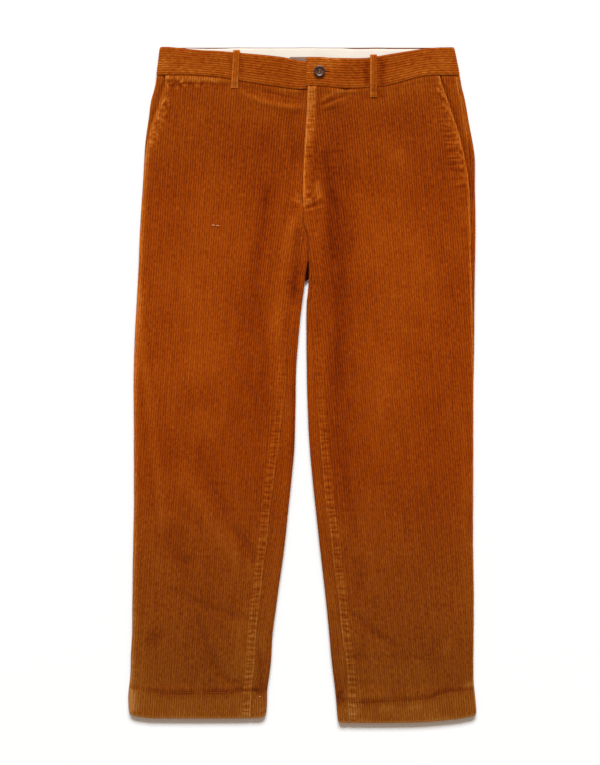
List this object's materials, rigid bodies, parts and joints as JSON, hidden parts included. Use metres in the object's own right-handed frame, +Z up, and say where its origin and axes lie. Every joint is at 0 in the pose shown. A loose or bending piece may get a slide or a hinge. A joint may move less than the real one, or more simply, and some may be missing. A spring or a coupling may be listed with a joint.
{
  "type": "corduroy trousers",
  "caption": "Straight-leg corduroy trousers lying flat and face up, with slanted side pockets, a fly with a button waistband, belt loops and turned-up hems.",
  "frame": {"origin": "on the surface that the trousers lie on, under the centre of their bounding box", "axes": "+Y towards the waist, +X towards the wearer's left leg, +Z up from the surface"},
  "size_m": [0.5254, 1.0196, 0.0146],
  "materials": {
    "corduroy": "ribbed pile",
    "waistband_corduroy": "ribbed pile, wales along the band",
    "facing_twill": "matte woven",
    "label_cloth": "matte woven",
    "button_plastic": "satin"
  },
  "bodies": {
    "root": {"front_left": "corduroy", "front_right": "corduroy", "back_left": "corduroy", "back_right": "corduroy", "pocket_facing_left": "corduroy", "pocket_facing_right": "corduroy", "waistband_left": "waistband_corduroy", "waistband_right": "waistband_corduroy", "waistband_facing": "facing_twill", "waistband_label": "label_cloth", "belt_loop_front_left": "waistband_corduroy", "belt_loop_front_right": "waistband_corduroy", "belt_loop_back_left": "waistband_corduroy", "belt_loop_back_centre": "waistband_corduroy", "belt_loop_back_right": "waistband_corduroy", "button": "button_plastic"}
  },
  "joints": []
}
